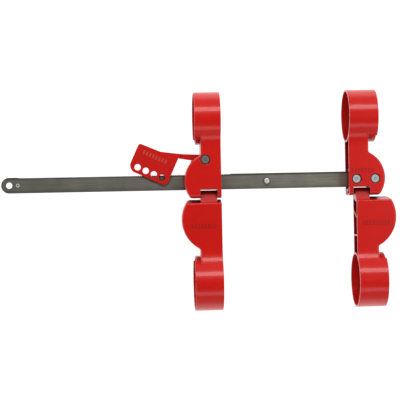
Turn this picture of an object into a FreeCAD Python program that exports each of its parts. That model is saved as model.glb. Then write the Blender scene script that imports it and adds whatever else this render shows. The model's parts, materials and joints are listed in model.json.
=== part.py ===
import FreeCAD, Part
import math
import os
from types import SimpleNamespace

from FreeCAD import Vector

# Adjustable clamp: a ratchet bar with one fixed and one sliding jaw, each jaw made of two hinged halves.
# It lies on its back. +X runs along the bar towards the fixed jaw, +Y from the lower halves to the upper
# ones, and +Z up from the surface it rests on. Millimetres. Until the end the model sits in working
# coordinates: X from the bar's free end, Y from the bar's middle, Z from the axis of the upper loops.

# ---- bar ----
bar_length = 482.2
bar_height = 20.0
bar_thickness = 4.0
bar_back = -7.0
tooth_pitch = 2.5
tooth_depth = 1.4
tooth_count = 108
teeth_start = 21.1
hang_hole_radius = 4.0
hang_hole_inset = 10.1
end_stop_inset = 21.0
end_stop_radius = 2.4
end_stop_bore = 1.2
end_stop_bore_depth = 3.0
end_stop_head_radius = 3.4
end_stop_proud = 2.6
travel_stop_x = 338.0
travel_stop_radius = 3.4
travel_stop_proud = 6.0
travel_stop_dome = 1.5
travel_stop_tail = 1.6
travel_stop_tail_radius = 4.4
bar_end_gap = 0.7

# ---- housings, the same on all four halves ----
wall = 2.2
front_face = 21.0
edge_round = 2.0
crook_round = 3.0
gusset_radius = 30.0
loop_step = 1.6
loop_step_height = 7.0

# ---- upper halves ----
upper_back = -9.4
upper_leg_width = 25.6
upper_ear_radius = 35.7
upper_ear_u = 10.5
upper_ear_rise = 1.4
upper_corner_round = 5.0
upper_front_round = 6.0
upper_back_round = 5.0
upper_edge_lift = 0.4
upper_loop_radius = 33.5
sliding_upper_loop_width = 33.0
fixed_upper_loop_width = 36.8
upper_loop_rise = 81.0

# ---- lower halves ----
lower_back = -6.0
lower_leg_width = 27.6
lower_ear_radius = 42.0
lower_ear_u = 8.6
lower_ear_drop = 32.65
lower_corner_round = 6.0
lower_loop_radius = 35.0
sliding_lower_loop_width = 35.4
fixed_lower_loop_width = 36.6
lower_loop_drop = 113.75
lower_top_drop = 7.45
lower_front_drop = 11.75
lower_slant_start = 4.0
lower_back_round = 1.0
fixed_lower_offset = 9.0
rib_thickness = 1.8
slanted_rib_drop = 23.6
slanted_rib_fall = 10.0
level_rib_drop = 55.7

# ---- hinges ----
barrel_radius = 4.25
barrel_clearance = 1.0
tongue_crown_z = 11.0
hinge_pin_radius = 2.2
hinge_head_radius = 3.2
hinge_head_thickness = 1.4
hinge_clip_thickness = 1.0
hinge_groove_depth = 0.5
clip_mouth_share = 0.8
hinge_z = -3.5
cheek_thickness = 3.0
cheek_inset = 2.2
slot_beyond_leg = 1.0
slot_over_bar = 0.5
side_clearance = 0.3

# ---- rivets and what is on them ----
rivet_radius = 3.0
rivet_head_radius = 5.3
rivet_head_thickness = 1.3
recess_radius = 6.4
recess_depth = 2.6
boss_radius = 8.4
boss_depth = 5.0
rivet_dimple_radius = 1.7
rivet_dimple_depth = 0.6
tail_radius = 4.4
tail_thickness = 1.4
washer_radius = 5.6
washer_thickness = 1.0
spacer_radius = 5.0
fixed_rivet_u = 9.6
fixed_rivet_edge = 12.8

# ---- lock lever, drawn latched ----
latch_angle = 24.5
pivot_u = 19.8
pawl_drop = 17.8
pawl_reach = 15.0
pawl_teeth = 2
rest_tooth = 89
pawl_root = 6.3
pawl_nose_round = 2.0
pivot_boss_radius = 7.0
tab_thickness = 3.0
tab_gap = 0.5
padlock_hole_radius = 4.0
padlock_hole_pitch = 11.25
padlock_hole_count = 4
padlock_hole_start = 40.7
padlock_hole_drop = 4.4
tab_start = 31.4
tab_top = 5.0
tab_side_margin = 10.6
tab_end_margin = 7.6
tab_heel_round = 5.5
tab_toe_round = 10.0
tab_tip_round = 3.5
tab_tip_fall = 8.2
tab_shoulder_run = 24.0
tab_shoulder_fall = 7.4
tab_shoulder_round = 25.0
arm_root_angle = 60.0
arm_bottom = 11.0
arm_waist = 7.0
arm_waist_round = 8.0
joggle_run = 4.6
joggle_slope = 17.0
lever_window_margin = 1.5
lever_window_lap = 4.2
disc_spring_radius = 5.4
disc_spring_thickness = 0.8
disc_spring_height = 1.3

# ---- clearances ----
guide_clearance = 0.4
running_clearance = 0.06
tooth_clearance = 0.12
overrun = 5.0

# ---- places that follow from the sizes ----
bar_front = bar_back + bar_thickness
bar_top = bar_height / 2
hinge_y = -(bar_top + barrel_clearance + barrel_radius)
slot_top = -bar_top + slot_over_bar
slot_inner = cheek_inset + cheek_thickness
slot_outer = upper_leg_width + slot_beyond_leg
upper_edge = hinge_y - (hinge_z - upper_back) + upper_edge_lift
ear_outermost = upper_ear_u + upper_ear_radius
bar_corner_rise = bar_top + upper_ear_rise
bar_in_jaw = upper_ear_u + math.sqrt((upper_ear_radius - wall) ** 2 - bar_corner_rise ** 2) - bar_end_gap
fixed_x = bar_length - bar_in_jaw
pivot_x = teeth_start + rest_tooth * tooth_pitch + pawl_reach
sliding_x = pivot_x + pivot_u
pivot_y = bar_top + pawl_drop
fixed_rivets_u = (fixed_rivet_u, ear_outermost - fixed_rivet_edge)
lower_loop_z = lower_loop_radius - upper_loop_radius
floor_z = -upper_loop_radius
hinge_clip_start = slot_outer + cheek_thickness
hinge_pin_end = hinge_clip_start + 2 * hinge_clip_thickness
spring_top = bar_front + running_clearance + disc_spring_height

upper = SimpleNamespace(
    edge=upper_edge, back=upper_back, leg=upper_leg_width, ear_radius=upper_ear_radius,
    ear_u=upper_ear_u, ear_v=upper_ear_rise, corner=upper_corner_round, back_round=upper_back_round,
    front_round=upper_front_round, slant=0.0, slant_start=0.0, loop_radius=upper_loop_radius,
    loop_v=upper_loop_rise, loop_z=0.0)
lower = SimpleNamespace(
    edge=lower_top_drop - hinge_y, back=lower_back, leg=lower_leg_width, ear_radius=lower_ear_radius,
    ear_u=lower_ear_u, ear_v=lower_ear_drop - hinge_y, corner=lower_corner_round,
    back_round=lower_back_round, front_round=0.0, slant=lower_front_drop - lower_top_drop,
    slant_start=lower_slant_start, loop_radius=lower_loop_radius,
    loop_v=lower_loop_drop - hinge_y, loop_z=lower_loop_z)


# ---- helpers ----
def box(x0, x1, y0, y1, z0, z1):
    return Part.makeBox(x1 - x0, y1 - y0, z1 - z0, Vector(x0, y0, z0))


def rod_x(x0, x1, y, z, radius):
    return Part.makeCylinder(radius, x1 - x0, Vector(x0, y, z), Vector(1, 0, 0))


def rod_z(x, y, z0, z1, radius):
    return Part.makeCylinder(radius, z1 - z0, Vector(x, y, z0), Vector(0, 0, 1))


def tube_z(x, y, z0, z1, outer, inner):
    return rod_z(x, y, z0, z1, outer).cut(rod_z(x, y, z0, z1, inner))


def face_of(start, steps):
    """Closed face through points; a step is an end point, or a (middle, end) pair for an arc."""
    edges = []
    here = start
    for step in steps:
        if isinstance(step, tuple):
            middle, end = step
            edges.append(Part.Arc(here, middle, end).toShape())
        else:
            end = step
            edges.append(Part.makeLine(here, end))
        here = end
    if here.distanceToPoint(start) > 0.001:
        edges.append(Part.makeLine(here, start))
    return Part.Face(Part.Wire(edges))


def rounded_face(corners):
    """Closed face in the XY plane through (x, y, radius) corners, each rounded by its radius."""
    points = [Vector(x, y, 0) for x, y, radius in corners]
    path = []
    for i, (x, y, radius) in enumerate(corners):
        here = points[i]
        back = (points[i - 1] - here).normalize()
        ahead = (points[(i + 1) % len(points)] - here).normalize()
        if radius == 0:
            path.append(here)
            continue
        half_angle = back.getAngle(ahead) / 2
        reach = radius / math.tan(half_angle)
        inward = (back + ahead).normalize()
        middle = here + inward * (radius / math.sin(half_angle) - radius)
        path.append(here + back * reach)
        path.append((middle, here + ahead * reach))
    return face_of(path[0], path[1:])


def fillet(solid, radius, wanted):
    return solid.makeFillet(radius, [edge for edge in solid.Edges if wanted(edge)])


def upright_at(u, v):
    """Test for the edge that stands along Z at (u, v)."""
    def wanted(edge):
        return all(abs(p.Point.x - u) + abs(p.Point.y - v) < 0.01 for p in edge.Vertexes)
    return wanted


# ---- the shell that every half is made from: u outwards from the inner edge, v towards the loop ----
def plan_solid(half, inset):
    inner = -overrun if inset else 0.0
    edge = half.edge + inset
    leg = half.leg - inset
    radius = half.ear_radius - inset
    ear_start = half.ear_u + math.sqrt(radius ** 2 - (edge - half.ear_v) ** 2)
    ear_end = half.ear_v + math.sqrt(radius ** 2 - (leg - half.ear_u) ** 2)
    low_angle = math.atan2(edge - half.ear_v, ear_start - half.ear_u)
    high_angle = math.atan2(ear_end - half.ear_v, leg - half.ear_u)
    middle = (low_angle + high_angle) / 2
    bulge = Vector(half.ear_u + radius * math.cos(middle), half.ear_v + radius * math.sin(middle), 0)
    face = face_of(Vector(inner, edge, 0), [
        Vector(ear_start, edge, 0),
        (bulge, Vector(leg, ear_end, 0)),
        Vector(leg, half.loop_v, 0),
        Vector(inner, half.loop_v, 0)])
    low = half.loop_z - half.loop_radius
    face.translate(Vector(0, 0, low))
    solid = face.extrude(Vector(0, 0, 2 * half.loop_radius))
    solid = fillet(solid, half.corner - inset, upright_at(ear_start, edge))
    return fillet(solid, crook_round + inset, upright_at(leg, ear_end))


def side_solid(half, inset, back):
    """Section across the bar: flat back, front face, and the curve that runs out onto the loop."""
    front = front_face - inset
    edge = half.edge + inset
    turn = gusset_radius + inset
    ring = half.loop_radius - inset
    centre_z = front + turn
    centre_v = half.loop_v - math.sqrt((ring + turn) ** 2 - (centre_z - half.loop_z) ** 2)
    to_loop = Vector(0, half.loop_v - centre_v, half.loop_z - centre_z).normalize()
    on_loop = Vector(0, centre_v, centre_z) + to_loop * turn
    sag = (to_loop + Vector(0, 0, -1)).normalize()
    on_curve = Vector(0, centre_v, centre_z) + sag * turn
    round_back = max(half.back_round - inset, 0.5)
    lean = (1 - math.sqrt(0.5)) * round_back
    steps = [
        (Vector(0, edge + lean, back + lean), Vector(0, edge, back + round_back))]
    if half.slant:
        slope = (front_face - half.slant_start) / half.slant
        drop = inset * math.sqrt(1 + slope ** 2)
        steps.append(Vector(0, edge, half.slant_start + slope * inset - drop))
        steps.append(Vector(0, half.edge + (front - half.slant_start + drop) / slope, front))
    else:
        round_front = half.front_round - inset
        turn_in = (1 - math.sqrt(0.5)) * round_front
        steps.append(Vector(0, edge, front - round_front))
        steps.append((Vector(0, edge + turn_in, front - turn_in), Vector(0, edge + round_front, front)))
    steps += [
        Vector(0, centre_v, front),
        (on_curve, on_loop),
        Vector(0, half.loop_v, half.loop_z + ring / 3),
        Vector(0, half.loop_v, back)]
    face = face_of(Vector(0, edge + round_back, back), steps)
    face.translate(Vector(-overrun, 0, 0))
    return face.extrude(Vector(2 * half.ear_radius + 2 * overrun, 0, 0))


def rim_edges(half):
    """Test for the outer front edges of a half, from its hinge side to its loop."""
    def wanted(edge):
        on_front = all(p.Point.z > front_face - 0.01 for p in edge.Vertexes)
        at_inner_side = all(p.Point.x < 0.01 for p in edge.Vertexes)
        in_loop = any(p.Point.y > half.loop_v - half.loop_radius / 2 for p in edge.Vertexes)
        across = abs(edge.Vertexes[0].Point.y - edge.Vertexes[-1].Point.y) < 0.01
        at_loop = across and edge.Vertexes[0].Point.y > half.ear_v + half.ear_radius / 2
        return on_front and not at_inner_side and not in_loop and not at_loop
    return wanted


def envelope(half):
    solid = plan_solid(half, 0.0).common(side_solid(half, 0.0, half.back))
    return fillet(solid, edge_round, rim_edges(half))


def loop_disc(half, radius, start, end):
    return rod_x(start, end, half.loop_v, half.loop_z, radius)


def shell(half, floor, loop_width):
    """Hollow half, open on its inner side; floor is the inside height of its back wall."""
    disc = loop_disc(half, half.loop_radius, 0, loop_width)
    near = half.loop_v - half.loop_radius
    step = box(loop_width - loop_step, loop_width + 1, near - 1, near + loop_step_height,
               half.loop_z - half.loop_radius - 1, half.loop_z + half.loop_radius + 1)
    hollow = plan_solid(half, wall).common(side_solid(half, wall, floor))
    hollow = hollow.cut(loop_disc(half, half.loop_radius, -2 * overrun, loop_width))
    bore = loop_disc(half, half.loop_radius - wall, -1, loop_width + 1)
    return envelope(half).fuse(disc.cut(step)).cut(hollow).cut(bore)


def hinge_rod(start, end, radius):
    return rod_x(start, end, hinge_y, hinge_z, radius)


# ---- upper halves ----
def upper_half(bar_gap, loop_width, rivets, with_windows):
    """Upper half in jaw coordinates. bar_gap is the play behind the bar; rivets lists (u, y)."""
    floor = bar_back - bar_gap
    solid = shell(upper, floor, loop_width)
    inner_web = box(cheek_inset, slot_inner, upper.edge, bar_top + cheek_thickness, upper_back,
                    front_face - wall / 2)
    outer_cheek = box(slot_outer, slot_outer + cheek_thickness, upper.edge,
                      -bar_top - guide_clearance, upper_back, front_face - wall / 2)
    solid = solid.fuse(inner_web.fuse(outer_cheek).common(envelope(upper)))
    for u, y in rivets:
        solid = solid.fuse(rod_z(u, y, front_face - boss_depth, front_face - wall / 2, boss_radius)
                           .common(envelope(upper)))
    slot = box(slot_inner, slot_outer, upper.edge - overrun, slot_top, upper_back - 1, front_face + 1)
    guide_top = bar_top + guide_clearance
    guide_front = bar_front + guide_clearance
    window = box(-1, slot_inner + 1, -guide_top, guide_top, floor, guide_front)
    pin_hole = hinge_rod(0, hinge_pin_end, hinge_pin_radius + running_clearance)
    clip_seat = hinge_rod(hinge_clip_start, hinge_pin_end + running_clearance,
                          hinge_head_radius + running_clearance)
    solid = solid.cut(slot).cut(window).cut(pin_hole).cut(clip_seat)
    for u, y in rivets:
        solid = solid.cut(rod_z(u, y, front_face - recess_depth, front_face + 1, recess_radius))
        solid = solid.cut(rod_z(u, y, upper_back - 1, front_face, rivet_radius + running_clearance))
        spacer_bore = spacer_radius + running_clearance
        solid = solid.cut(rod_z(u, y, bar_front, front_face - boss_depth, spacer_bore))
    if with_windows:
        bar_window = box(slot_outer, 2 * ear_outermost, -guide_top, guide_top, floor, guide_front)
        lever_window = box(slot_outer - lever_window_lap, 2 * ear_outermost, bar_top + cheek_thickness,
                           pivot_y + pivot_boss_radius + lever_window_margin, floor, guide_front)
        spring_seat = rod_z(pivot_u, pivot_y, bar_front, spring_top, disc_spring_radius + running_clearance)
        solid = solid.cut(bar_window).cut(lever_window).cut(spring_seat)
    return solid


# ---- lower halves ----
def lower_half(offset, loop_width):
    """Lower half in jaw coordinates, its inner edge outside the upper one by offset."""
    solid = shell(lower, lower_back + wall, loop_width)
    ribs = []
    for drop, fall in ((slanted_rib_drop, slanted_rib_fall), (level_rib_drop, 0.0)):
        low = drop - hinge_y
        face = face_of(Vector(0, low, lower_back), [
            Vector(0, low + rib_thickness, lower_back),
            Vector(0, low + rib_thickness + fall, front_face - 1),
            Vector(0, low + fall, front_face - 1)])
        ribs.append(face.extrude(Vector(lower_ear_u + lower_ear_radius - 1, 0, 0)))
    solid = solid.fuse(ribs[0].fuse(ribs[1]).common(envelope(lower)))
    solid = solid.mirror(Vector(0, 0, 0), Vector(0, 1, 0))
    solid.translate(Vector(offset, 0, 0))
    barrel_start = slot_inner + side_clearance
    barrel_end = slot_outer - side_clearance
    tongue_start = max(barrel_start, offset)
    shell_top = hinge_y - lower_top_drop
    front_top = hinge_y - lower_front_drop
    crown = hinge_y + barrel_radius
    tongue = face_of(Vector(tongue_start, crown, hinge_z), [
        Vector(tongue_start, crown, tongue_crown_z),
        Vector(tongue_start, front_top, front_face - edge_round),
        Vector(tongue_start, front_top - wall, front_face - edge_round),
        Vector(tongue_start, shell_top - wall, lower_back),
        Vector(tongue_start, hinge_y, lower_back)])
    tongue = tongue.extrude(Vector(barrel_end - tongue_start, 0, 0))
    solid = solid.fuse(tongue).fuse(hinge_rod(barrel_start, barrel_end, barrel_radius))
    return solid.cut(hinge_rod(0, slot_outer + 1, hinge_pin_radius + running_clearance))


# ---- bar and its pins ----
def ratchet_bar():
    steps = [Vector(teeth_start, bar_top, bar_back)]
    for tooth in range(tooth_count):
        x = teeth_start + (tooth + 1) * tooth_pitch
        steps.append(Vector(x, bar_top - tooth_depth, bar_back))
        steps.append(Vector(x, bar_top, bar_back))
    start = Vector(bar_top, bar_top, bar_back)
    steps += [
        Vector(bar_length, bar_top, bar_back),
        Vector(bar_length, -bar_top, bar_back),
        Vector(bar_top, -bar_top, bar_back),
        (Vector(0, 0, bar_back), start)]
    solid = face_of(start, steps).extrude(Vector(0, 0, bar_thickness))
    holes = [(hang_hole_inset, hang_hole_radius), (end_stop_inset, end_stop_radius),
             (travel_stop_x, travel_stop_radius)]
    holes += [(fixed_x + u, rivet_radius) for u in fixed_rivets_u]
    for x, radius in holes:
        play = 0 if radius == hang_hole_radius else running_clearance
        solid = solid.cut(rod_z(x, 0, bar_back - 1, bar_front + 1, radius + play))
    return solid


def end_stop_pin():
    """Pin with a blind bore, flush in front so that the lever's tab passes, with its head behind the bar."""
    behind = bar_back - end_stop_proud
    pin = rod_z(end_stop_inset, 0, behind, bar_front, end_stop_radius)
    pin = pin.fuse(rod_z(end_stop_inset, 0, behind, bar_back, end_stop_head_radius))
    return pin.cut(rod_z(end_stop_inset, 0, bar_front - end_stop_bore_depth, bar_front + 1, end_stop_bore))


def travel_stop_pin():
    top = bar_front + travel_stop_proud
    pin = rod_z(travel_stop_x, 0, bar_back - travel_stop_tail, top, travel_stop_radius)
    pin = fillet(pin, travel_stop_dome, lambda edge: edge.BoundBox.ZMin > top - 0.01)
    tail = rod_z(travel_stop_x, 0, bar_back - travel_stop_tail, bar_back, travel_stop_tail_radius)
    return pin.fuse(tail)


# ---- rivets and hinge pins ----
def rivet(x, y):
    seat = front_face - recess_depth
    top = seat + rivet_head_thickness
    behind = upper_back - washer_thickness
    head = rod_z(x, y, seat, top, rivet_head_radius)
    head = fillet(head, rivet_head_thickness / 2, lambda edge: edge.BoundBox.ZMin > top - 0.01)
    head = head.cut(rod_z(x, y, top - rivet_dimple_depth, top + 1, rivet_dimple_radius))
    shank = rod_z(x, y, behind, seat, rivet_radius)
    return head.fuse(shank).fuse(rod_z(x, y, behind - tail_thickness, behind, tail_radius))


def rivet_washer(x, y):
    return tube_z(x, y, upper_back - washer_thickness, upper_back, washer_radius,
                  rivet_radius + running_clearance)


def rivet_spacer(x, y, start):
    return tube_z(x, y, start, front_face - boss_depth, spacer_radius, rivet_radius + running_clearance)


def disc_spring(x, y):
    """Dished spring washer between the lever and its spacer."""
    low = bar_front + running_clearance
    rise = disc_spring_height - disc_spring_thickness
    bore = rivet_radius + running_clearance
    section = face_of(Vector(x + disc_spring_radius, y, low), [
        Vector(x + disc_spring_radius, y, low + disc_spring_thickness),
        Vector(x + bore, y, low + disc_spring_thickness + rise),
        Vector(x + bore, y, low + rise)])
    return section.revolve(Vector(x, y, 0), Vector(0, 0, 1), 360)


def hinge_pin():
    pin = hinge_rod(cheek_inset, hinge_pin_end, hinge_pin_radius)
    pin = pin.fuse(hinge_rod(cheek_inset - hinge_head_thickness, cheek_inset, hinge_head_radius))
    waist = hinge_rod(hinge_clip_start, hinge_clip_start + hinge_clip_thickness, hinge_pin_radius + 1)
    core = hinge_rod(hinge_clip_start, hinge_pin_end, hinge_pin_radius - hinge_groove_depth)
    return pin.cut(waist.cut(core))


def hinge_clip():
    start = hinge_clip_start
    end = start + hinge_clip_thickness
    inner = hinge_pin_radius - hinge_groove_depth
    half_mouth = inner * clip_mouth_share
    ring = hinge_rod(start, end, hinge_head_radius).cut(hinge_rod(start - 1, end + 1, inner))
    mouth = box(start - 1, end + 1, hinge_y, hinge_y + 2 * hinge_head_radius,
                hinge_z - half_mouth, hinge_z + half_mouth)
    return ring.cut(mouth)


# ---- lever ----
def from_pivot(left, down, radius=0.0):
    """Corner given by its distances left of and below the pivot, on the latched lever."""
    return pivot_x - left, pivot_y - down, radius


def plate(corners, low, high):
    face = rounded_face(corners)
    face.translate(Vector(0, 0, low))
    return face.extrude(Vector(0, 0, high - low))


def pawl_corners():
    """Teeth that fill the bar's notches, with a little play, under a nose that hangs from the boss."""
    nose_x = pivot_x - pawl_reach - tooth_clearance
    low = bar_top - tooth_depth + 2 * tooth_clearance
    corners = [from_pivot(pawl_root, 0.0)]
    corners.append((nose_x, pivot_y - pivot_boss_radius, pawl_nose_round))
    corners.append((nose_x, low + tooth_depth, 0.0))
    for tooth in range(pawl_teeth):
        x = nose_x + (tooth + 1) * tooth_pitch
        corners.append((x, low, 0.0))
        corners.append((x, low + tooth_depth, 0.0))
    corners.append(from_pivot(0.0, pawl_root))
    return corners


def lock_lever():
    """Cranked plate: boss, pawl and arm in the bar's plane, and a tab that passes in front of the bar."""
    tab_back = bar_front + tab_gap
    tab_front = tab_back + tab_thickness
    hole_down = pawl_drop + bar_height + padlock_hole_drop
    tab_end = padlock_hole_start + (padlock_hole_count - 1) * padlock_hole_pitch + tab_side_margin
    tab_bottom = hole_down + tab_end_margin
    tab = plate([
        from_pivot(tab_start, tab_top),
        from_pivot(tab_start + tab_shoulder_run, tab_top + tab_shoulder_fall, tab_shoulder_round),
        from_pivot(tab_end, tab_top + tab_tip_fall, tab_tip_round),
        from_pivot(tab_end, tab_bottom, tab_toe_round),
        from_pivot(tab_start, tab_bottom, tab_heel_round)], tab_back, tab_front)
    crank_end = tab_start + joggle_run
    crank_drop = joggle_run * math.tan(math.radians(joggle_slope))
    arm_root = math.radians(arm_root_angle)
    root_left = pivot_boss_radius * math.cos(arm_root)
    root_up = pivot_boss_radius * math.sin(arm_root)
    arm = plate([
        from_pivot(0.0, 0.0),
        from_pivot(root_left, -root_up),
        from_pivot(tab_start, tab_top),
        from_pivot(crank_end, tab_top + crank_drop),
        from_pivot(crank_end, arm_bottom + crank_drop),
        from_pivot(tab_start / 2, arm_waist, arm_waist_round)], bar_back, tab_front)
    crank = face_of(Vector(pivot_x, 0, bar_back), [
        Vector(pivot_x, 0, bar_front),
        Vector(pivot_x - tab_start + tab_front - bar_front, 0, bar_front),
        Vector(pivot_x - tab_start, 0, tab_front),
        Vector(pivot_x - crank_end, 0, tab_front),
        Vector(pivot_x - crank_end, 0, tab_back),
        Vector(pivot_x - tab_start, 0, bar_back)]).extrude(Vector(0, 2 * pivot_y, 0))
    pawl = plate(pawl_corners(), bar_back, bar_front)
    boss = rod_z(pivot_x, pivot_y, bar_back, bar_front, pivot_boss_radius)
    lever = arm.common(crank).fuse(tab).fuse(boss).fuse(pawl)
    lever = lever.cut(rod_z(pivot_x, pivot_y, bar_back - 1, bar_front + 1,
                            rivet_radius + running_clearance))
    for hole in range(padlock_hole_count):
        x, y, radius = from_pivot(padlock_hole_start + hole * padlock_hole_pitch, hole_down,
                                  padlock_hole_radius)
        lever = lever.cut(rod_z(x, y, tab_back - 1, tab_front + 1, radius))
    lever.rotate(Vector(pivot_x, pivot_y, 0), Vector(0, 0, 1), -latch_angle)
    return lever


# ---- assembly ----
def as_fixed(shape):
    shape.translate(Vector(fixed_x, 0, 0))
    return shape


def as_sliding(shape):
    mirrored = shape.mirror(Vector(0, 0, 0), Vector(1, 0, 0))
    mirrored.translate(Vector(sliding_x, 0, 0))
    return mirrored


def assembly():
    inner_u, outer_u = fixed_rivets_u
    fixed_upper = upper_half(0.0, fixed_upper_loop_width, [(inner_u, 0), (outer_u, 0)], False)
    sliding_upper = upper_half(guide_clearance, sliding_upper_loop_width, [(pivot_u, pivot_y)], True)
    parts = {
        "ratchet_bar": ratchet_bar(),
        "end_stop_pin": end_stop_pin(),
        "travel_stop_pin": travel_stop_pin(),
        "fixed_upper_half": as_fixed(fixed_upper),
        "fixed_lower_half": as_fixed(lower_half(fixed_lower_offset, fixed_lower_loop_width)),
        "fixed_hinge_pin": as_fixed(hinge_pin()),
        "fixed_hinge_clip": as_fixed(hinge_clip()),
        "sliding_upper_half": as_sliding(sliding_upper),
        "sliding_lower_half": as_sliding(lower_half(0.0, sliding_lower_loop_width)),
        "sliding_hinge_pin": as_sliding(hinge_pin()),
        "sliding_hinge_clip": as_sliding(hinge_clip()),
        "lever_rivet": rivet(pivot_x, pivot_y),
        "lever_washer": rivet_washer(pivot_x, pivot_y),
        "lever_spacer": rivet_spacer(pivot_x, pivot_y, spring_top),
        "lever_disc_spring": disc_spring(pivot_x, pivot_y),
        "lock_lever": lock_lever(),
    }
    for place, u in (("inner", inner_u), ("outer", outer_u)):
        parts["fixed_rivet_" + place] = rivet(fixed_x + u, 0)
        parts["fixed_washer_" + place] = rivet_washer(fixed_x + u, 0)
        parts["fixed_spacer_" + place] = rivet_spacer(fixed_x + u, 0, bar_front)
    return parts


def frame_shift():
    """From the working coordinates to an origin under the middle of the whole clamp."""
    low_y = hinge_y - lower_loop_drop - lower_loop_radius
    high_y = upper_loop_rise + upper_loop_radius
    high_x = fixed_x + max(fixed_lower_offset + lower_ear_u + lower_ear_radius, ear_outermost,
                           fixed_lower_offset + fixed_lower_loop_width)
    return Vector(-high_x / 2, -(low_y + high_y) / 2, -floor_z)


def main():
    os.makedirs("parts", exist_ok=True)
    shift = frame_shift()
    for name, shape in assembly().items():
        shape.translate(shift)
        shape.exportStep("parts/" + name + ".step")


main()
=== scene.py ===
import json
import math

import bpy
from mathutils import Matrix, Vector

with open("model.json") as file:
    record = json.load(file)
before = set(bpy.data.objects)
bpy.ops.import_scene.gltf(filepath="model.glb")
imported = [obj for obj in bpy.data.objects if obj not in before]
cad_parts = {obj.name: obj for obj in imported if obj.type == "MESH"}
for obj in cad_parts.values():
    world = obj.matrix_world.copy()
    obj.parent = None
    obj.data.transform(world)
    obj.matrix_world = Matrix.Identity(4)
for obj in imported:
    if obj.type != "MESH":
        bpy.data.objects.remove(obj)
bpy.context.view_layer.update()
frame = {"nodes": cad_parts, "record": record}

nodes = frame["nodes"]

# ---------------------------------------------------------------- camera
# The camera looks straight down on the clamp from a little to its left, with a slight roll.
CAMERA_DISTANCE = 1.63
CAMERA_YAW = math.radians(3.0)
CAMERA_ROLL = math.radians(1.15)
FIELD_WIDTH = 0.512          # width of the view at the bar, in metres
AIM = Vector((0.0020, 0.0018, 0.0285))
SENSOR_WIDTH = 36.0
CLIP_END = 20.0


def make_camera():
    data = bpy.data.cameras.new("camera")
    data.sensor_width = SENSOR_WIDTH
    data.lens = data.sensor_width * CAMERA_DISTANCE / FIELD_WIDTH
    data.clip_end = CLIP_END
    camera = bpy.data.objects.new("camera", data)
    bpy.context.collection.objects.link(camera)
    back = Vector((-math.sin(CAMERA_YAW), 0, math.cos(CAMERA_YAW)))
    right = Vector((math.cos(CAMERA_ROLL), -math.sin(CAMERA_ROLL), 0))
    right = (right - back * right.dot(back)).normalized()
    up = back.cross(right)
    place = AIM + back * CAMERA_DISTANCE
    camera.matrix_world = Matrix.Translation(place) @ Matrix((right, up, back)).transposed().to_4x4()
    bpy.context.scene.camera = camera


make_camera()


# ---------------------------------------------------------------- materials
PAINTED_SHADE_SAMPLES = 8
EDGE_SAMPLES = 6
SHARP_ANGLE = math.radians(28)
# Pale red is a painted highlight, on the outer edges and on the tab's lettering blocks; dark red is
# painted shade on the housing's lettering blocks.
PALE_RED = (0.72, 0.16, 0.12)
DARK_RED = (0.24, 0.012, 0.010)
BLOCK_PITCH = 0.0042         # from one block of a row to the next, in metres
BLOCK_SHARE = 0.6            # share of the pitch that is block
BLOCK_TINT = 0.4
BLOCK_RISE = 0.0012
PAINT_SPECULAR = 0.32
PAINT_COAT = 0.4
PAINT_COAT_ROUGHNESS = 0.06
# Painted shade in hollows: how far the occlusion looks, in metres, and how dark the steel gets.
HOUSING_PAINTED_SHADE_REACH = 0.07
STEEL_PAINTED_SHADE_REACH = 0.006
BAR_PAINTED_SHADE_REACH = 0.005
STEEL_PAINTED_SHADE_DARK = 0.1


def new_material(name):
    material = bpy.data.materials.new(name)
    material.use_nodes = True
    return material, material.node_tree, material.node_tree.nodes["Principled BSDF"]


def noise(tree, scale, detail=3.0, stretch=(1, 1, 1)):
    """Noise in the row frame, scale in cycles per metre; a small stretch makes it long on that axis."""
    place = tree.nodes.new("ShaderNodeTexCoord")
    mapping = tree.nodes.new("ShaderNodeMapping")
    mapping.inputs["Scale"].default_value = [scale * s for s in stretch]
    texture = tree.nodes.new("ShaderNodeTexNoise")
    texture.inputs["Scale"].default_value = 1.0
    texture.inputs["Detail"].default_value = detail
    tree.links.new(place.outputs["Object"], mapping.inputs["Vector"])
    tree.links.new(mapping.outputs["Vector"], texture.inputs["Vector"])
    return texture.outputs["Fac"]


def along(tree, axis, start, end):
    """Runs from 0 to 1 between two places along a row axis, in metres."""
    place = tree.nodes.new("ShaderNodeTexCoord")
    split = tree.nodes.new("ShaderNodeSeparateXYZ")
    spread = tree.nodes.new("ShaderNodeMapRange")
    spread.inputs["From Min"].default_value = start
    spread.inputs["From Max"].default_value = end
    tree.links.new(place.outputs["Object"], split.inputs["Vector"])
    tree.links.new(split.outputs[axis], spread.inputs["Value"])
    return spread.outputs["Result"]


def ramp(tree, source, low, high, start=0.35, end=0.65):
    """Value or colour that runs from low to high as source runs from start to end."""
    node = tree.nodes.new("ShaderNodeValToRGB")
    node.color_ramp.elements[0].position = start
    node.color_ramp.elements[1].position = end
    for element, value in zip(node.color_ramp.elements, (low, high)):
        element.color = (*value, 1) if isinstance(value, tuple) else (value, value, value, 1)
    tree.links.new(source, node.inputs["Fac"])
    return node.outputs["Color"]


def times(tree, first, second):
    node = tree.nodes.new("ShaderNodeMix")
    node.data_type = "RGBA"
    node.blend_type = "MULTIPLY"
    node.inputs["Factor"].default_value = 1.0
    tree.links.new(first, node.inputs["A"])
    tree.links.new(second, node.inputs["B"])
    return node.outputs["Result"]


def mixed(tree, amount, first, second):
    """First where amount is 0 and the fixed colour second where it is 1."""
    node = tree.nodes.new("ShaderNodeMix")
    node.data_type = "RGBA"
    node.inputs["B"].default_value = (*second, 1)
    tree.links.new(amount, node.inputs["Factor"])
    tree.links.new(first, node.inputs["A"])
    return node.outputs["Result"]


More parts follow.
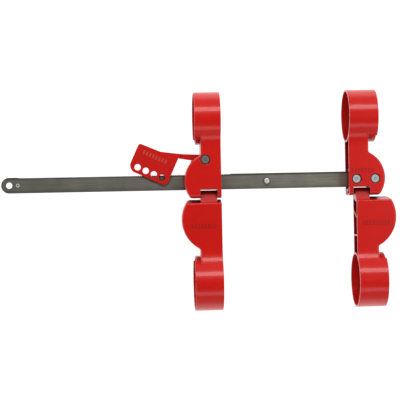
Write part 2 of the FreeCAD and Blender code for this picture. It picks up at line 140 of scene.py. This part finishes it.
def painted_crevice_shade(tree, reach, dark):
    """Painted shade: grey that is dark deep inside the part and white on its open faces, standing in for
    the shade in hollows, recesses and on side walls.
    """
    node = tree.nodes.new("ShaderNodeAmbientOcclusion")
    node.samples = PAINTED_SHADE_SAMPLES
    node.inputs["Distance"].default_value = reach
    return ramp(tree, node.outputs["AO"], dark, 1.0, 0.35, 0.85)


def edge_normal(tree, radius):
    node = tree.nodes.new("ShaderNodeBevel")
    node.samples = EDGE_SAMPLES
    node.inputs["Radius"].default_value = radius
    return node.outputs["Normal"]


def bump(tree, source, height, strength, after):
    node = tree.nodes.new("ShaderNodeBump")
    node.inputs["Distance"].default_value = height
    node.inputs["Strength"].default_value = strength
    tree.links.new(source, node.inputs["Height"])
    tree.links.new(after, node.inputs["Normal"])
    return node.outputs["Normal"]


def painted_edge_highlight(tree, radius):
    """Mask for the painted edge highlight: 1 on the outer edges, where the rounded normal leaves the true
    one, and 0 elsewhere.
    """
    true_normal = tree.nodes.new("ShaderNodeNewGeometry")
    dot = tree.nodes.new("ShaderNodeVectorMath")
    dot.operation = "DOT_PRODUCT"
    tree.links.new(edge_normal(tree, radius), dot.inputs[0])
    tree.links.new(true_normal.outputs["Normal"], dot.inputs[1])
    return ramp(tree, dot.outputs["Value"], 1.0, 0.0, 0.82, 0.97)


def math_node(tree, operation, first, second=None):
    node = tree.nodes.new("ShaderNodeMath")
    node.operation = operation
    for socket, value in zip(node.inputs, (first, second)):
        if isinstance(value, (int, float)):
            socket.default_value = value
        elif value is not None:
            tree.links.new(value, socket)
    return node.outputs["Value"]


def raised_marks(tree, centre, angle, length, height, low_z):
    """A row of plain even blocks on a front face, 1 on the blocks and 0 elsewhere."""
    place = tree.nodes.new("ShaderNodeTexCoord")
    mapping = tree.nodes.new("ShaderNodeMapping")
    mapping.vector_type = "TEXTURE"
    mapping.inputs["Location"].default_value = (*centre, 0)
    mapping.inputs["Rotation"].default_value = (0, 0, angle)
    split = tree.nodes.new("ShaderNodeSeparateXYZ")
    tree.links.new(place.outputs["Object"], mapping.inputs["Vector"])
    tree.links.new(mapping.outputs["Vector"], split.inputs["Vector"])
    along_row = math_node(tree, "LESS_THAN", math_node(tree, "ABSOLUTE", split.outputs["X"]), length / 2)
    across_row = math_node(tree, "LESS_THAN", math_node(tree, "ABSOLUTE", split.outputs["Y"]), height / 2)
    count = round(length / BLOCK_PITCH)
    turn = math_node(tree, "FRACT", math_node(tree, "ADD", math_node(
        tree, "MULTIPLY", split.outputs["X"], count / length), 0.5 * (count % 2)))
    block = math_node(tree, "LESS_THAN", turn, BLOCK_SHARE)
    in_front = math_node(tree, "GREATER_THAN", split.outputs["Z"], low_z)
    return math_node(tree, "MULTIPLY", math_node(tree, "MULTIPLY", along_row, across_row),
                     math_node(tree, "MULTIPLY", block, in_front))


def glossy_red(name, bright, deep, edge_highlight_colour, round_radius, marks, mark_painted_light_colour, dark=None):
    material, tree, shader = new_material(name)
    colour = ramp(tree, noise(tree, 14, 2), deep, bright, 0.3, 0.7)
    if dark:
        # Painted shade in the housing's hollows and on its side walls, darkened towards the given colour.
        colour = times(tree, colour, painted_crevice_shade(tree, HOUSING_PAINTED_SHADE_REACH, dark))
    # Painted highlight: the outer edges are mixed towards a pale red.
    colour = mixed(tree, painted_edge_highlight(tree, round_radius), colour, edge_highlight_colour)
    # The blocks are tinted with painted light and shade: painted shade in dark red on the housing and
    # painted highlight in pale red on the tab, standing in for the light on the raised lettering.
    blocks = [raised_marks(tree, *mark) for mark in marks]
    for block in blocks:
        colour = mixed(tree, math_node(tree, "MULTIPLY", block, BLOCK_TINT), colour, mark_painted_light_colour)
    tree.links.new(colour, shader.inputs["Base Color"])
    tree.links.new(ramp(tree, noise(tree, 200, 3), 0.3, 0.36), shader.inputs["Roughness"])
    shader.inputs["Specular IOR Level"].default_value = PAINT_SPECULAR
    shader.inputs["Coat Weight"].default_value = PAINT_COAT
    shader.inputs["Coat Roughness"].default_value = PAINT_COAT_ROUGHNESS
    normal = bump(tree, noise(tree, 420, 2), 0.00004, 0.4, edge_normal(tree, round_radius))
    normal = bump(tree, noise(tree, 30, 1), 0.0004, 0.2, normal)
    for block in blocks:
        normal = bump(tree, block, BLOCK_RISE, 1.0, normal)
    tree.links.new(normal, shader.inputs["Normal"])
    return material


def brushed_steel(name, light, dark, stretch, roughness, metallic=0.85):
    material, tree, shader = new_material(name)
    shader.inputs["Metallic"].default_value = metallic
    streaks = noise(tree, 900, 4, stretch)
    colour = ramp(tree, streaks, dark, light, 0.3, 0.7)
    # Painted shade in hollows and recesses, such as around the rivet heads.
    colour = times(tree, colour, painted_crevice_shade(tree, STEEL_PAINTED_SHADE_REACH, STEEL_PAINTED_SHADE_DARK))
    tree.links.new(colour, shader.inputs["Base Color"])
    tree.links.new(ramp(tree, streaks, roughness + 0.08, roughness), shader.inputs["Roughness"])
    tree.links.new(bump(tree, streaks, 0.00004, 0.6, edge_normal(tree, 0.0004)), shader.inputs["Normal"])
    return material


def bar_steel():
    """Satin flat bar, brushed along its length, darker at its free end, with painted shade along its lower
    edge, in its hollows and along its teeth.
    """
    material, tree, shader = new_material("bar_steel")
    shader.inputs["Metallic"].default_value = 0.75
    streaks = noise(tree, 1100, 4, (0.02, 1, 1))
    colour = ramp(tree, streaks, (0.225, 0.215, 0.18), (0.33, 0.32, 0.275), 0.3, 0.7)
    colour = times(tree, colour, ramp(tree, along(tree, "X", -0.25, 0.2), 0.82, 1.15, 0.0, 1.0))
    # Painted shade: darker towards the lower edge, where the bar's lower face lies in shadow.
    colour = times(tree, colour, ramp(tree, along(tree, "Y", 0.015, 0.035), 0.72, 1.0, 0.05, 0.3))
    colour = times(tree, colour, ramp(tree, noise(tree, 60, 3), 0.86, 1.05, 0.3, 0.7))
    # Painted shade in the bar's hollows.
    colour = times(tree, colour, painted_crevice_shade(tree, BAR_PAINTED_SHADE_REACH, STEEL_PAINTED_SHADE_DARK))
    # Painted shade: a dark band along the teeth at the top edge, standing in for the shadowed tooth flanks
    # and notches.
    colour = times(tree, colour, ramp(tree, along(tree, "Y", 0.0318, 0.0328), 1.0, 0.4, 0.0, 1.0))
    tree.links.new(colour, shader.inputs["Base Color"])
    tree.links.new(ramp(tree, streaks, 0.5, 0.38), shader.inputs["Roughness"])
    tree.links.new(bump(tree, streaks, 0.00005, 0.7, edge_normal(tree, 0.0003)), shader.inputs["Normal"])
    return material


HOUSING_FRONT = 0.05         # blocks are drawn only above this height, in metres
TAB_FRONT = 0.032
# Each row of blocks: centre, angle, length, height and the height it is drawn above.
HOUSING_MARKS = [((0.2066, 0.0355), -0.03, 0.034, 0.0055, HOUSING_FRONT),
                 ((0.2250, -0.0312), 0.0, 0.036, 0.0055, HOUSING_FRONT),
                 ((0.0062, -0.0315), 0.0, 0.033, 0.0055, HOUSING_FRONT)]
TAB_MARKS = [((-0.0540, 0.0574), -0.43, 0.034, 0.0055, TAB_FRONT)]
MATERIALS = {
    # Housing: the last colour is the painted shade in hollows and side walls; pale red is the painted edge
    # highlight; dark red is painted shade on the lettering blocks.
    "red_housing": glossy_red("housing_red", (0.80, 0.008, 0.004), (0.72, 0.007, 0.003), PALE_RED, 0.0007,
                              HOUSING_MARKS, DARK_RED, (0.28, 0.12, 0.12)),
    # Lever: pale red is the painted highlight on the edges and on the tab's lettering blocks.
    "red_lever": glossy_red("lever_red", (0.76, 0.010, 0.006), (0.68, 0.008, 0.004), PALE_RED, 0.0005,
                            TAB_MARKS, PALE_RED),
    "bar_steel": bar_steel(),
    "zinc_plated": brushed_steel("zinc_plated", (0.66, 0.70, 0.73), (0.5, 0.53, 0.55), (1, 1, 0.2),
                                 0.4, 0.45),
    "pin_steel": brushed_steel("pin_steel", (0.95, 0.95, 0.92), (0.85, 0.85, 0.82), (1, 1, 0.2), 0.3, 0.5),
}
LEVER_RIVET = brushed_steel("lever_rivet_steel", (0.34, 0.34, 0.34), (0.25, 0.25, 0.25), (1, 1, 0.2), 0.38)


def dress(slot_of_node):
    for node, slot in slot_of_node.items():
        mesh = nodes[node].data
        mesh.materials.clear()
        mesh.materials.append(LEVER_RIVET if node == "lever_rivet" else MATERIALS[slot])
        mesh.shade_smooth()
        mesh.set_sharp_from_angle(angle=SHARP_ANGLE)


dress({part["node"]: part["material_slot"] for part in frame["record"]["subparts"]})


# ---------------------------------------------------------------- floor and light
FLOOR_HALF_SIZE = 12.0
FLOOR_GREY = (0.4, 0.4, 0.4, 1)
FLOOR_GLOW = 0.92            # keeps the floor white and almost without shadow


def make_floor():
    size = FLOOR_HALF_SIZE
    mesh = bpy.data.meshes.new("floor")
    corners = [(-size, -size, 0), (size, -size, 0), (size, size, 0), (-size, size, 0)]
    mesh.from_pydata(corners, [], [(0, 1, 2, 3)])
    floor = bpy.data.objects.new("floor", mesh)
    bpy.context.collection.objects.link(floor)
    material, tree, shader = new_material("floor_paper")
    shader.inputs["Base Color"].default_value = FLOOR_GREY
    shader.inputs["Roughness"].default_value = 0.9
    shader.inputs["Emission Color"].default_value = (1, 1, 1, 1)
    shader.inputs["Emission Strength"].default_value = FLOOR_GLOW
    mesh.materials.append(material)


def softbox(name, place, aim, size, power):
    data = bpy.data.lights.new(name, "AREA")
    data.shape = "RECTANGLE"
    data.size, data.size_y = size
    data.energy = power
    light = bpy.data.objects.new(name, data)
    bpy.context.collection.objects.link(light)
    light.location = place
    light.rotation_euler = (Vector(aim) - Vector(place)).to_track_quat("-Z", "Y").to_euler()


def make_world():
    """Even grey surroundings, darker straight overhead and brighter towards the horizon."""
    world = bpy.data.worlds.new("world")
    world.use_nodes = True
    tree = world.node_tree
    place = tree.nodes.new("ShaderNodeTexCoord")
    split = tree.nodes.new("ShaderNodeSeparateXYZ")
    tree.links.new(place.outputs["Generated"], split.inputs["Vector"])
    shade = ramp(tree, split.outputs["Z"], 0.5, 0.07, 0.1, 0.9)
    tree.links.new(shade, tree.nodes["Background"].inputs["Color"])
    tree.nodes["Background"].inputs["Strength"].default_value = 1.0
    bpy.context.scene.world = world


make_floor()
softbox("upper", (0.0, 1.2, 1.5), (0, 0, 0), (1.8, 0.6), 17)
softbox("near", (0.1, -1.2, 1.3), (0, 0, 0), (1.8, 0.5), 4)
softbox("right", (1.2, 0.1, 1.5), (0, 0, 0), (0.5, 1.2), 5)
softbox("left", (-1.2, 0.3, 1.6), (0, 0, 0), (0.5, 1.2), 2.5)
make_world()
bpy.context.scene.view_settings.view_transform = "Standard"
